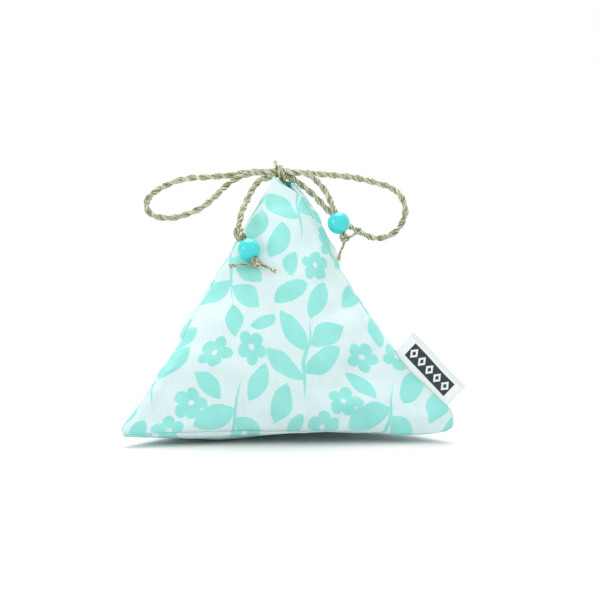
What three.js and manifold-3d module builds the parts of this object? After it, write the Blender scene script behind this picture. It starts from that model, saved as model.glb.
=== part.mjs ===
// Scented sachet: a stuffed four-cornered cotton bag with a tied cord, two beads and a side label.
// Lengths are in millimetres. +X is right, the front faces -Y, +Z is up, and it stands on z = 0.

import * as THREE from "three";
import { mergeVertices } from "three/addons/utils/BufferGeometryUtils.js";
import Module from "manifold-3d";

const wasm = await Module();
wasm.setup();

// Bag
const EDGE = 113; // one seam from corner to corner
const TURN = THREE.MathUtils.degToRad(5.3); // the bag stands turned a little
const CORNER_LIFT = 4; // the corners curl up off the floor
const FABRIC = 0.5; // thickness of the cotton canvas
const SEAM_ALLOWANCE = 5; // cloth turned in along each seam
const CLEARANCE = 0.3; // between pieces that touch
const SAME_POINT = 0.0001; // points nearer than this are one
const TIP_WIDTH = 8.4; // the open top corner that the cord comes out of
const MOUTH_SHARES = { left: 0.77, right: 1.55, back: 1.48 }; // its slant, of the tip's width
const SIDE_CROWN = 8; // how far the filling swells each upright panel
const FLATTENED = 1; // how deep the floor cuts the swelling of the base
const SIDE_FULLNESS_SHARE = 0.75;
const BASE_FULLNESS_SHARE = 0.4;
const PANEL_ROWS = 12;
const BASE_ARCH_SHARES = { from: 0.52, to: 0.78, backFrom: 0.12, backTo: 0.34, kept: 0.1 };
const SEAM_DRAWN_IN = { back: 3, frontHem: 1, backHem: 3 };
const SEAM_SWAY = 2.5; // how far the side seams sway in, towards the bag's middle
const HEM_DIP = 1.7; // how far the front hem sags
const HEM_DIP_POWER = 6; // how fast that fades up the cloth
const CORNER_CURL = 2.6; // how far the front corners curl

// The shape of a seam: a share of the way along it, and the share of its sway or dip there.
const LEFT_SEAM_SHARES = [
  [0, 0], [0.3, 0.12], [0.42, -0.16], [0.5, -0.24], [0.62, -0.2], [0.8, 0], [1, 0],
];
const RIGHT_SEAM_SHARES = [
  [0, 0], [0.1, -0.28], [0.2, -0.2], [0.3, 0.16], [0.4, 0.64], [0.5, 1], [0.6, 1], [0.7, 0.88],
  [0.76, 0.6], [0.82, 0.04], [0.88, -0.64], [0.94, -0.96], [1, 0],
];
const FRONT_HEM_SHARES = [
  [0, 0], [0.2, -0.2], [0.4, 0], [0.56, 0.18], [0.67, 0.3], [0.78, 0.7], [0.87, 1], [0.93, 1],
  [1, 0.35],
];
const CORNER_CURL_SHARES = {
  left: { from: 0.84, by: [-0.46, 0, 0.19] },
  right: { from: 0.86, by: [0.12, 0, 1] },
};

// Filling
const FILLING_EDGE_SHARE = 0.145; // of the way from a seam to the bag's middle
const FILLING_FACE_SHARE = 0.035; // of the way from a face to the bag's middle
const FILLING_ROWS = 10;
const FILLING_COLUMNS = 8;
const FILLING_BASE_ROWS = 4;

// Cord
const CORD = 1.9; // diameter
const CORD_SIDES = 8;
const CORD_STEP = 2.5 * CORD;
const STRAND = 0.95; // diameter of one parted strand at a cord end
const WRAP_RADIUS = 2.35; // of the wrap's centre line around the bow knot
const WRAP_PITCH = 3.3;
const WRAP_STEPS = 24; // in one turn
const WRAP_SIDES = 6;
const GAP_SAMPLES = 200; // points along the wrap that its least gap is measured on
const STUB_RISE = 3.6; // the cut end above the bow knot's middle
const STUB_LEAN = 0.2;
const BOW_ASIDE = -0.4;
const BOW_BACK = 1.9;
const KNOT_HALF = 4; // half the length of the bow knot
const KNOT_SWELL = 1.15; // its ends stand this far round the cords that leave it
const ANCHOR_KNOT = 4.4; // diameter of the knot inside the tip

// Beads and the knots beside them
const BEAD = 8;
const BEAD_BORE = 2.5;
const STOP_KNOT = { across: 4.4, length: 5.2 };
const END_KNOT = { across: 4, length: 3.4 };
const LATHE_SEGMENTS = 20;
const KNOT_SEGMENTS = 10;

// Label
const LABEL_WIDTH = 26; // ribbon width, along the seam
const LABEL_OUT = 9.2; // how far the folded ribbon stands out of the seam
const LABEL_THICKNESS = 1.1; // of the folded ribbon, both layers and the air between
const RIBBON = 0.3;
const LABEL_ROOT = 0.7; // room at the seam for the label to flap
const LABEL_PLACE_SHARE = 0.812; // of the way down the right seam
const FOLD_STEPS = 6;

// Routes of the cord, from the middle of the bow knot
const LEFT_LOOP_ROUTE = [
  [-5.25, 1.1, 0.2], [-7.5, 1.15, 0.3], [-11.2, 1.2, 0.2], [-19, 1.5, -1], [-26.7, 1, -1.6],
  [-34.4, 0, -2.3], [-40.2, -1, -4.2], [-45.1, -2, -7], [-47.6, -3, -10], [-47.3, -4, -13.5],
  [-44.5, -5, -15.6], [-38.7, -5.5, -16.2], [-33.3, -5.5, -14.8], [-28.3, -5, -12.7],
  [-24.1, -4, -9.3], [-20.7, -3, -5.9], [-16.9, -2, -2.8], [-13, -1.3, -1], [-9.1, -1.1, 0],
  [-7.5, -1.1, 0.15], [-5.25, -1.1, 0.2],
];
const RIGHT_LOOP_ROUTE = [
  [5.25, 1.1, -0.1], [6.5, 1.15, 0], [8.5, 1.2, 0], [12.3, 1.5, -0.3], [18.9, 1.5, -0.9],
  [25.4, 1, -1.6], [29.7, 0.5, -2.4], [34, 0, -3.7], [38.3, 0, -5.3], [41.4, 0, -7.4],
  [43.6, 0, -10.5], [44.5, 0.5, -13.5], [43.7, 1, -17], [41.5, 1.5, -20.1], [38.5, 2, -22.7],
  [34.2, 2.5, -23.6], [30.3, 2.5, -22.2], [25.5, 2.5, -19.6], [21.4, 2.3, -16.5],
  [17.6, 2, -13.5], [14.5, 1.5, -10.5], [11.6, 0.9, -7.3], [9.9, 0.2, -5.3], [8.1, -0.6, -3],
  [6.6, -1.1, -1], [5.25, -1.1, -0.1],
];
const LEFT_TAIL_ROUTE = [
  [-5.25, -0.6, -2], [-6.7, -0.9, -2.3], [-8.7, -3.2, -4.3], [-10.6, -6.4, -7.5],
  [-12.4, -10.2, -10.6], [-14.1, -13.8, -13.8], [-15.1, -16.5, -16.8],
];
const RIGHT_TAIL_ROUTE = [
  [5.25, -3.4, -0.1], [7, -3.4, -0.15], [9.9, -4.1, -1], [12.8, -5.4, -3.4], [15.5, -6.8, -6.7],
  [17.4, -8, -9.4],
];
const LEFT_BEAD_PLACE = [-10.7, -21.9, -26.9];
const LEFT_BEAD_HEADING = [5.7, -4.6, -9.5]; // the way the cord runs down through the bead
const RIGHT_BEAD_PLACE = [20.7, -10, -17.9];
const RIGHT_BEAD_HEADING = [4.2, -1.6, -11.2];
const LEFT_STRAND_ROUTES = [
  [[-10.4, -24.2, -31.5], [-13, -24, -32.1], [-15.4, -23.2, -32.2], [-17.6, -22.7, -32.7]],
  [[-5.6, -24.6, -32.2], [-3.9, -24.9, -33], [-2.8, -25, -33.6], [-1.2, -25.1, -34.2]],
];
const RIGHT_STRAND_ROUTES = [
  [[22.2, -11.5, -26.1], [21.4, -12.3, -27.6], [20.9, -13.4, -29.2], [20.5, -14.5, -31]],
  [[24.9, -10.9, -22.6], [26, -11.5, -22], [27.2, -12, -21.2], [28.2, -12.5, -19.6]],
];

const HEIGHT = EDGE * Math.sqrt(2 / 3);
const TIP_SHARE = TIP_WIDTH / EDGE;
const SPREAD = EDGE / 3 + 2 * SIDE_CROWN * Math.sqrt(2 / 3); // between two panels' middles
const SEAM_SHARE = CLEARANCE / SPREAD; // of the way from a seam to a panel's middle
const TURNED_IN_SHARE = SEAM_SHARE + (2 * FABRIC) / SPREAD;
const TIP_TOP = CORNER_LIFT + HEIGHT * (1 - TIP_SHARE);
const CENTRE = new THREE.Vector3(0, 0, CORNER_LIFT + HEIGHT / 4);
const SEAM_DEPTH = EDGE / Math.sqrt(8); // from a seam's middle to the bag's middle
const TURNED_SHARE = SEAM_ALLOWANCE / SEAM_DEPTH;
const FOLD_SHARE = (3 / 2) * (FABRIC / (HEIGHT / 4));
const BOW = new THREE.Vector3(BOW_ASIDE, BOW_BACK, TIP_TOP + CLEARANCE + CORD / 2 + WRAP_RADIUS);
const HEM_BOTTOM = TIP_TOP - TURNED_SHARE * (TIP_TOP - CENTRE.z);
const ANCHOR_TOP = HEM_BOTTOM - CLEARANCE;

const fabricMaterial = () =>
  new THREE.MeshStandardMaterial({ color: 0xc2e9e6, roughness: 0.9, metalness: 0 });
const fillingMaterial = () =>
  new THREE.MeshStandardMaterial({ color: 0x8a7f9c, roughness: 1, metalness: 0 });
const cordMaterial = () =>
  new THREE.MeshStandardMaterial({ color: 0xbeb996, roughness: 0.85, metalness: 0 });
const beadMaterial = () =>
  new THREE.MeshStandardMaterial({ color: 0x3cd7e6, roughness: 0.15, metalness: 0 });
const ribbonMaterial = () =>
  new THREE.MeshStandardMaterial({ color: 0xf2f5f5, roughness: 0.5, metalness: 0 });

function named(name, geometry, material) {
  const mesh = new THREE.Mesh(geometry, material);
  mesh.name = name;
  return mesh;
}

function vector(point) {
  return new THREE.Vector3(...point);
}

// A solid of manifold-3d from a closed geometry, and back.
function toSolid(geometry) {
  const bare = geometry.clone();
  bare.deleteAttribute("normal");
  bare.deleteAttribute("uv");
  const merged = mergeVertices(bare, SAME_POINT);
  const vertProperties = new Float32Array(merged.attributes.position.array);
  const triVerts = new Uint32Array(merged.index.array);
  return new wasm.Manifold(new wasm.Mesh({ numProp: 3, vertProperties, triVerts }));
}

function toGeometry(solid) {
  const mesh = solid.getMesh();
  return new THREE.BufferGeometry()
    .setAttribute("position", new THREE.BufferAttribute(mesh.vertProperties, 3))
    .setIndex(new THREE.BufferAttribute(mesh.triVerts, 1));
}

function meshOf(points, faces) {
  return new THREE.BufferGeometry().setFromPoints(points).setIndex(faces);
}

// The four corners of the bag.
function cornerAt(degrees) {
  const angle = THREE.MathUtils.degToRad(degrees) + TURN;
  const reach = EDGE / Math.sqrt(3);
  return new THREE.Vector3(reach * Math.cos(angle), reach * Math.sin(angle), CORNER_LIFT);
}

const CORNERS = {
  top: new THREE.Vector3(0, 0, CORNER_LIFT + HEIGHT),
  left: cornerAt(210),
  right: cornerAt(330),
  back: cornerAt(90),
};

const SEAMS = [
  { ends: ["top", "left"], drawnIn: 0, sway: LEFT_SEAM_SHARES },
  { ends: ["top", "right"], drawnIn: 0, sway: RIGHT_SEAM_SHARES },
  { ends: ["top", "back"], drawnIn: SEAM_DRAWN_IN.back },
  { ends: ["left", "right"], drawnIn: SEAM_DRAWN_IN.frontHem, dip: FRONT_HEM_SHARES },
  { ends: ["right", "back"], drawnIn: SEAM_DRAWN_IN.backHem },
  { ends: ["left", "back"], drawnIn: SEAM_DRAWN_IN.backHem },
];

// The value of a seam's shape at a share of the way along it.
function shapeAt(seamShares, share) {
  const next = Math.max(1, seamShares.findIndex(([at]) => at >= share));
  const [[from, low], [to, high]] = [seamShares[next - 1], seamShares[next]];
  return THREE.MathUtils.lerp(low, high, (share - from) / (to - from));
}

// Panels: a point of the bag's surface has a share of each of its panel's three corners.
function panelOf(corners, crown, fullness, arched = false) {
  const [a, b, c] = corners.map((name) => CORNERS[name]);
  const outward = b.clone().sub(a).cross(c.clone().sub(a)).normalize();
  const panel = { corners, outward, crown, fullness, arched };
  panel.middle = surfacePoint(panel, [1 / 3, 1 / 3, 1 / 3]);
  return panel;
}

function swell(shares, fullness) {
  const [a, b, c] = shares;
  return Math.max(0, 27 * a * b * c) ** fullness;
}

// The base arches up off the floor at the front right.
function archShare({ left, right, back }) {
  const { from, to, backFrom, backTo, kept } = BASE_ARCH_SHARES;
  const sideways = THREE.MathUtils.smoothstep(right / Math.max(left + right, SAME_POINT), from, to);
  const forward = 1 - THREE.MathUtils.smoothstep(back, backFrom, backTo);
  return 1 - (1 - kept) * sideways * forward;
}

function surfacePoint(panel, shares) {
  const point = new THREE.Vector3();
  const share = {};
  panel.corners.forEach((name, i) => {
    share[name] = shares[i];
    point.addScaledVector(CORNERS[name], shares[i]);
  });
  for (const { ends, drawnIn, sway, dip } of SEAMS) {
    const [s, t] = ends.map((name) => share[name] ?? 0);
    if (s + t === 0) continue;
    const middle = CORNERS[ends[0]].clone().lerp(CORNERS[ends[1]], 1 / 2);
    const inward = CENTRE.clone().sub(middle).normalize();
    point.addScaledVector(inward, 4 * s * t * drawnIn);
    const along = t / (s + t);
    if (sway) point.addScaledVector(inward, SEAM_SWAY * (s + t) ** 2 * shapeAt(sway, along));
    if (dip) point.z -= HEM_DIP * (s + t) ** HEM_DIP_POWER * shapeAt(dip, along);
  }
  for (const [name, { from, by }] of Object.entries(CORNER_CURL_SHARES)) {
    const curled = THREE.MathUtils.smoothstep(share[name] ?? 0, from, 1);
    point.addScaledVector(vector(by), CORNER_CURL * curled);
  }
  const crown = panel.crown * (panel.arched ? archShare(share) : 1);
  point.addScaledVector(panel.outward, crown * swell(shares, panel.fullness));
  point.z = Math.max(point.z, 0);
  return point;
}

// Moves a surface point a share of the way to its panel's middle, and to the bag's middle.
function inside(panel, point, alongShare, inShare) {
  const moved = point.clone().lerp(panel.middle, alongShare);
  return moved.addScaledVector(CENTRE.clone().sub(point), inShare);
}

// Rows of shares from the panel's first corner, or from the mouth across it, to its far side.
function shareRows(corners, hasMouth) {
  const first = hasMouth ? 1 : 0;
  const [from, to] = corners.slice(1).map((name) => (hasMouth ? TIP_SHARE * MOUTH_SHARES[name] : 0));
  const rows = [];
  for (let segments = first; segments <= PANEL_ROWS; segments++) {
    const row = [];
    for (let i = 0; i <= segments; i++) {
      const across = segments ? i / segments : 0;
      const cut = THREE.MathUtils.lerp(from, to, across);
      const down = cut + ((1 - cut) * (segments - first)) / (PANEL_ROWS - first);
      row.push([1 - down, down * (1 - across), down * across]);
    }
    rows.push(row);
  }
  return rows;
}

// One piece of cloth with its thickness, and its edges turned in along the seams.
function clothGeometry(panel, hasMouth) {
  const rows = shareRows(panel.corners, hasMouth);
  const starts = [];
  let count = 0;
  rows.forEach((row) => {
    starts.push(count);
    count += row.length;
  });
  const at = (row, i) => starts[row] + i;
  const last = rows.length - 1;
  const border = [];
  for (let i = 0; i < rows[0].length; i++) border.push(at(0, i));
  for (let row = 1; row <= last; row++) border.push(at(row, rows[row].length - 1));
  for (let i = rows[last].length - 2; i >= 0; i--) border.push(at(last, i));
  for (let row = last - 1; row > 0; row--) border.push(at(row, 0));

  const surface = rows.flat().map((shares) => surfacePoint(panel, shares));
  const onBorder = new Set(border);
  const outer = surface.map((point) => inside(panel, point, SEAM_SHARE, 0));
  const inner = surface.map((point, i) =>
    onBorder.has(i)
      ? inside(panel, point, TURNED_IN_SHARE, FOLD_SHARE)
      : outer[i].clone().addScaledVector(panel.outward, -FABRIC),
  );
  const turnedOuter = border.map((i) => inside(panel, surface[i], SEAM_SHARE, TURNED_SHARE));
  const turnedInner = border.map((i) => inside(panel, surface[i], TURNED_IN_SHARE, TURNED_SHARE));

  const faces = [];
  for (let row = 0; row < last; row++) {
    for (let i = 0; i < rows[row].length; i++) {
      faces.push([at(row, i), at(row + 1, i), at(row + 1, i + 1)]);
      if (i + 1 < rows[row].length) faces.push([at(row, i), at(row + 1, i + 1), at(row, i + 1)]);
    }
  }
  const index = [];
  for (const [a, b, c] of faces) {
    index.push(a, b, c);
    index.push(count + a, count + c, count + b);
  }
  const loops = [
    border,
    border.map((_, i) => 2 * count + i),
    border.map((_, i) => 2 * count + border.length + i),
    border.map((i) => count + i),
  ];
  for (let loop = 0; loop + 1 < loops.length; loop++) {
    border.forEach((_, i) => {
      const next = (i + 1) % border.length;
      const [a, b] = [loops[loop][i], loops[loop][next]];
      const [c, d] = [loops[loop + 1][i], loops[loop + 1][next]];
      index.push(a, b, d, a, d, c);
    });
  }
  return meshOf([...outer, ...inner, ...turnedOuter, ...turnedInner], index);
}

// A closed solid through rings of points, with a fan over the first ring and over the last.
function lofted(rings) {
  const size = rings[0].length;
  const middleOf = (ring) =>
    ring.reduce((sum, p) => sum.add(p), new THREE.Vector3()).divideScalar(size);
  const points = [...rings.flat(), middleOf(rings[0]), middleOf(rings[rings.length - 1])];
  const first = rings.length * size;
  const lastRing = first - size;
  const index = [];
  for (let i = 0; i < size; i++) {
    const next = (i + 1) % size;
    for (let ring = 0; ring < lastRing; ring += size) {
      index.push(ring + i, ring + size + i, ring + size + next);
      index.push(ring + i, ring + size + next, ring + next);
    }
    index.push(first, i, next);
    index.push(first + 1, lastRing + next, lastRing + i);
  }
  return meshOf(points, index);
}

// The filling is one body that fills the bag up to the turned-in cloth.
function fillingGeometry(panels) {
  const toward = (panel, shares) => {
    const full = swell(shares, 1);
    const share = FILLING_EDGE_SHARE * (1 - full) + FILLING_FACE_SHARE * full;
    const point = surfacePoint(panel, shares).lerp(CENTRE, share);
    point.z = Math.min(point.z, ceiling);
    return point;
  };
  const ceiling = ANCHOR_TOP - ANCHOR_KNOT - CLEARANCE;
  const peak = CORNERS.top.z - FILLING_EDGE_SHARE * (CORNERS.top.z - CENTRE.z);
  const topShare = (peak - ceiling) / (HEIGHT * (1 - FILLING_EDGE_SHARE));
  const sides = [
    [panels.front, "left", "right"],
    [panels.right, "right", "back"],
    [panels.left, "back", "left"],
  ];
  const sharesOn = (panel, share) => panel.corners.map((name) => share[name] ?? 0);
  const rings = [];
  for (let row = 0; row <= FILLING_ROWS; row++) {
    const down = topShare + ((1 - topShare) * row) / FILLING_ROWS;
    const ring = [];
    for (const [panel, from, to] of sides) {
      for (let i = 0; i < FILLING_COLUMNS; i++) {
        const across = i / FILLING_COLUMNS;
        const share = { top: 1 - down, [from]: down * (1 - across), [to]: down * across };
        ring.push(toward(panel, sharesOn(panel, share)));
      }
    }
    rings.push(ring);
  }
  for (let row = 1; row < FILLING_BASE_ROWS; row++) {
    const out = 1 - row / FILLING_BASE_ROWS;
    const ring = [];
    for (const [, from, to] of sides) {
      for (let i = 0; i < FILLING_COLUMNS; i++) {
        const across = i / FILLING_COLUMNS;
        const share = { left: (1 - out) / 3, right: (1 - out) / 3, back: (1 - out) / 3 };
        share[from] += out * (1 - across);
        share[to] += out * across;
        ring.push(toward(panels.base, sharesOn(panels.base, share)));
      }
    }
    rings.push(ring);
  }
  return lofted(rings);
}

// Cords
function section(radius, sides) {
  const points = [];
  for (let i = 0; i < sides; i++) {
    const angle = (2 * Math.PI * i) / sides;
    points.push(new THREE.Vector2(radius * Math.cos(angle), radius * Math.sin(angle)));
  }
  return new THREE.Shape(points);
}

function tube(points, diameter, sides, step) {
  const path = new THREE.CatmullRomCurve3(points, false, "centripetal");
  const steps = Math.ceil(path.getLength() / step);
  const outline = section(diameter / 2, sides);
  return new THREE.ExtrudeGeometry(outline, { steps, extrudePath: path, bevelEnabled: false });
}

// A cord with a round end wherever it turns on the bow knot.
function cordGeometry(points, roundEnds) {
  let solid = toSolid(tube(points, CORD, CORD_SIDES, CORD_STEP));
  for (const point of roundEnds) {
    const end = new THREE.SphereGeometry(CORD / 2, CORD_SIDES, CORD_SIDES);
    solid = solid.add(toSolid(end.translate(...point)));
  }
  return toGeometry(solid);
}

function loopGeometry(route) {
  return cordGeometry(route.map(vector), [route[0], route[route.length - 1]]);
}

function wrapPoints() {
  const down = new THREE.Vector3(-BOW.x, -BOW.y, 0);
  const side = WRAP_PITCH / 2;
  const foot = ANCHOR_TOP + CLEARANCE - BOW.z;
  const mouth = TIP_TOP - BOW.z;
  const points = [
    down.clone().setZ(foot),
    down.clone().setZ((2 * foot + mouth) / 3),
    down.clone().setZ((foot + 2 * mouth) / 3),
    new THREE.Vector3((3 * down.x + side) / 4, (3 * down.y - WRAP_RADIUS) / 4, mouth),
  ];
  for (let i = 0; i <= WRAP_STEPS; i++) {
    const angle = (2 * Math.PI * i) / WRAP_STEPS;
    const along = side - (WRAP_PITCH * i) / WRAP_STEPS;
    points.push(
      new THREE.Vector3(along, -WRAP_RADIUS * Math.cos(angle), WRAP_RADIUS * Math.sin(angle)),
    );
  }
  points.push(new THREE.Vector3(-side - STUB_LEAN / 2, -WRAP_RADIUS, STUB_RISE / 2));
  points.push(new THREE.Vector3(-side - STUB_LEAN, -WRAP_RADIUS, STUB_RISE));
  return points;
}

// Prints the least gap between stretches of the wrap that aren't neighbours along it.
function reportLeastGap(points) {
  const path = new THREE.CatmullRomCurve3(points, false, "centripetal");
  const length = path.getLength();
  const samples = path.getSpacedPoints(GAP_SAMPLES);
  const spacing = length / GAP_SAMPLES;
  const apart = Math.ceil((Math.PI * CORD) / spacing);
  let least = Infinity;
  for (let i = 0; i < samples.length; i++) {
    for (let j = i + apart; j < samples.length; j++) {
      least = Math.min(least, samples[i].distanceTo(samples[j]) - CORD);
    }
  }
  console.log(`cord_wrap: least gap to itself ${least.toFixed(2)} mm`);
}

function wrapGeometry() {
  const points = wrapPoints();
  reportLeastGap(points);
  return tube(points, CORD, WRAP_SIDES, (2 * Math.PI * WRAP_RADIUS) / WRAP_STEPS);
}

// The bow knot: a thin neck inside the wrap, and a swollen end round the cords on each side.
function bowKnotGeometry() {
  const neck = WRAP_RADIUS - CORD / 2 - CLEARANCE;
  const neckHalf = (WRAP_PITCH + CORD) / 2 + CLEARANCE;
  const ends = [
    [LEFT_LOOP_ROUTE[0], LEFT_TAIL_ROUTE[0], -1],
    [RIGHT_LOOP_ROUTE[0], RIGHT_TAIL_ROUTE[0], 1],
  ];
  const ring = (x, y, z, across, tall) => {
    const points = [];
    for (let i = 0; i < KNOT_SEGMENTS; i++) {
      const angle = (2 * Math.PI * i) / KNOT_SEGMENTS;
      points.push(new THREE.Vector3(x, y + across * Math.cos(angle), z - tall * Math.sin(angle)));
    }
    return points;
  };
  const endRings = ends.map(([loop, tail, side]) => {
    const front = Math.min(-loop[1], tail[1]);
    const back = loop[1];
    const bottom = Math.min(loop[2], tail[2]);
    const top = Math.max(loop[2], tail[2]);
    const y = (front + back) / 2;
    const z = (bottom + top) / 2;
    const across = (back - front) / 2 + (KNOT_SWELL * CORD) / 2;
    const tall = (top - bottom) / 2 + (KNOT_SWELL * CORD) / 2;
    const stretch = KNOT_HALF - neckHalf;
    return [
      ring(side * (neckHalf + stretch / 4), y, z, across, tall),
      ring(side * (KNOT_HALF - stretch / 4), y, z, across, tall),
      ring(side * KNOT_HALF, y, z, across - CORD / 4, tall - CORD / 4),
    ];
  });
  const [left, right] = endRings;
  return lofted([
    ...left.reverse(),
    ring(-neckHalf, 0, 0, neck, neck),
    ring(neckHalf, 0, 0, neck, neck),
    ...right,
  ]);
}

// Beads and knots are turned around the cord that runs through them.
function turned(profile, segments, place, heading) {
  const outline = profile.map(([r, y]) => new THREE.Vector2(r, y));
  const geometry = new THREE.LatheGeometry([...outline, outline[0]], segments);
  const up = new THREE.Vector3(0, 1, 0);
  const spin = new THREE.Quaternion().setFromUnitVectors(up, heading);
  return toGeometry(toSolid(geometry.applyQuaternion(spin).translate(place.x, place.y, place.z)));
}

const BEAD_HALF = Math.sqrt((BEAD / 2) ** 2 - (BEAD_BORE / 2) ** 2);

function beadGeometry(place, heading) {
  const steps = LATHE_SEGMENTS / 2;
  const from = Math.asin(-BEAD_HALF / (BEAD / 2));
  const profile = [];
  for (let i = 0; i <= steps; i++) {
    const angle = from - (2 * from * i) / steps;
    profile.push([(BEAD / 2) * Math.cos(angle), (BEAD / 2) * Math.sin(angle)]);
  }
  return turned(profile, LATHE_SEGMENTS, place, heading);
}

function tiedKnotGeometry({ across, length }, place, heading) {
  const bore = CORD / 2 + CLEARANCE;
  const half = length / 2;
  const shoulder = (bore + across / 2) / 2;
  const profile = [
    [bore, -half],
    [shoulder, -half],
    [across / 2, -half / 2],
    [across / 2, half / 2],
    [shoulder, half],
    [bore, half],
  ];
  return turned(profile, KNOT_SEGMENTS, place, heading);
}

function anchorKnotGeometry() {
  const half = ANCHOR_KNOT / 2;
  const profile = [[0, -half]];
  for (let i = 1; i < KNOT_SEGMENTS / 2; i++) {
    const angle = (Math.PI * i) / (KNOT_SEGMENTS / 2) - Math.PI / 2;
    profile.push([half * Math.cos(angle), half * Math.sin(angle)]);
  }
  profile.push([0, half]);
  const outline = profile.map(([r, y]) => new THREE.Vector2(r, y));
  const ball = new THREE.LatheGeometry(outline, KNOT_SEGMENTS).rotateX(Math.PI / 2);
  return toGeometry(toSolid(ball.translate(0, 0, ANCHOR_TOP - half)));
}

// A tail, the bead on it, the knots beside the bead and the parted strands of its end.
function tail(side, route, beadPlace, beadHeading, strandRoutes, hasStopKnot) {
  const bead = vector(beadPlace);
  const heading = vector(beadHeading).normalize();
  const along = (distance) => bead.clone().addScaledVector(heading, distance);
  const knotOff = BEAD_HALF + CLEARANCE;
  const lead = (hasStopKnot ? STOP_KNOT.length : 0) + CORD / 2;
  const stopAt = -(knotOff + STOP_KNOT.length / 2);
  const endAt = knotOff + END_KNOT.length / 2;
  const straight = [-(knotOff + lead), -(knotOff + lead / 2), -knotOff, 0, knotOff, endAt];
  const points = [...route.map(vector), ...straight.map(along)];
  const group = new THREE.Group();
  group.add(
    named(`${side}_tail_cord`, cordGeometry(points, [route[0]]), cordMaterial()),
    named(`${side}_bead`, beadGeometry(bead, heading), beadMaterial()),
    named(`${side}_end_knot`, tiedKnotGeometry(END_KNOT, along(endAt), heading), cordMaterial()),
  );
  if (hasStopKnot) {
    const knot = tiedKnotGeometry(STOP_KNOT, along(stopAt), heading);
    group.add(named(`${side}_stop_knot`, knot, cordMaterial()));
  }
  strandRoutes.forEach((strand, i) => {
    const geometry = tube(strand.map(vector), STRAND, CORD_SIDES, CORD_STEP / 2);
    group.add(named(`${side}_strand_${i + 1}`, geometry, cordMaterial()));
  });
  return group;
}

function bow() {
  const group = new THREE.Group();
  group.position.copy(BOW);
  group.add(
    named("bow_knot", bowKnotGeometry(), cordMaterial()),
    named("cord_wrap", wrapGeometry(), cordMaterial()),
    named("left_loop_cord", loopGeometry(LEFT_LOOP_ROUTE), cordMaterial()),
    named("right_loop_cord", loopGeometry(RIGHT_LOOP_ROUTE), cordMaterial()),
    tail("left", LEFT_TAIL_ROUTE, LEFT_BEAD_PLACE, LEFT_BEAD_HEADING, LEFT_STRAND_ROUTES, true),
    tail("right", RIGHT_TAIL_ROUTE, RIGHT_BEAD_PLACE, RIGHT_BEAD_HEADING, RIGHT_STRAND_ROUTES, false),
  );
  return group;
}

// The label: a ribbon folded once, its two ends at the right seam.
function labelGeometry() {
  const half = LABEL_THICKNESS / 2;
  const straight = LABEL_OUT - half;
  const fold = (radius, from, to) => {
    const points = [];
    for (let i = 0; i <= FOLD_STEPS; i++) {
      const angle = from + ((to - from) * i) / FOLD_STEPS;
      points.push([straight + radius * Math.cos(angle), radius * Math.sin(angle)]);
    }
    return points;
  };
  const quarter = Math.PI / 2;
  const outline = [
    [0, -half],
    ...fold(half, -quarter, quarter),
    [0, half],
    [0, half - RIBBON],
    ...fold(half - RIBBON, quarter, -quarter),
    [0, RIBBON - half],
  ];
  const shape = new THREE.Shape(outline.map(([x, y]) => new THREE.Vector2(x, y)));
  const geometry = new THREE.ExtrudeGeometry(shape, { depth: LABEL_WIDTH, bevelEnabled: false });
  return geometry.translate(0, 0, -LABEL_WIDTH / 2);
}

function label(panel) {
  const seamPoint = (down) => {
    const share = { top: 1 - down, right: down };
    return surfacePoint(panel, panel.corners.map((name) => share[name] ?? 0));
  };
  const reach = LABEL_WIDTH / 2 / EDGE;
  const upper = seamPoint(LABEL_PLACE_SHARE - reach);
  const lower = seamPoint(LABEL_PLACE_SHARE + reach);
  const along = lower.clone().sub(upper).normalize();
  const middle = CORNERS.top.clone().lerp(CORNERS.right, 1 / 2);
  const outward = middle.sub(CENTRE);
  outward.addScaledVector(along, -outward.dot(along)).normalize();
  const across = along.clone().cross(outward);
  const mesh = named("side_label", labelGeometry(), ribbonMaterial());
  mesh.position.copy(upper).lerp(lower, 1 / 2).addScaledVector(outward, LABEL_ROOT);
  mesh.quaternion.setFromRotationMatrix(new THREE.Matrix4().makeBasis(outward, across, along));
  return mesh;
}

function bag() {
  const slackBase = panelOf(["left", "back", "right"], 0, BASE_FULLNESS_SHARE);
  const baseCrown = slackBase.middle.z + FLATTENED;
  const panels = {
    front: panelOf(["top", "left", "right"], SIDE_CROWN, SIDE_FULLNESS_SHARE),
    right: panelOf(["top", "right", "back"], SIDE_CROWN, SIDE_FULLNESS_SHARE),
    left: panelOf(["top", "back", "left"], SIDE_CROWN, SIDE_FULLNESS_SHARE),
    base: panelOf(["left", "back", "right"], baseCrown, BASE_FULLNESS_SHARE, true),
  };
  const group = new THREE.Group();
  group.add(
    named("front_panel", clothGeometry(panels.front, true), fabricMaterial()),
    named("right_panel", clothGeometry(panels.right, true), fabricMaterial()),
    named("left_panel", clothGeometry(panels.left, true), fabricMaterial()),
    named("base_panel", clothGeometry(panels.base, false), fabricMaterial()),
    named("scented_filling", fillingGeometry(panels), fillingMaterial()),
    named("anchor_knot", anchorKnotGeometry(), cordMaterial()),
    label(panels.front),
  );
  return group;
}

const sachet = new THREE.Group();
sachet.add(bag(), bow());

export default sachet;
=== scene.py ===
import math

import bmesh
import bpy
import numpy as np
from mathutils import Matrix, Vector, noise


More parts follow.
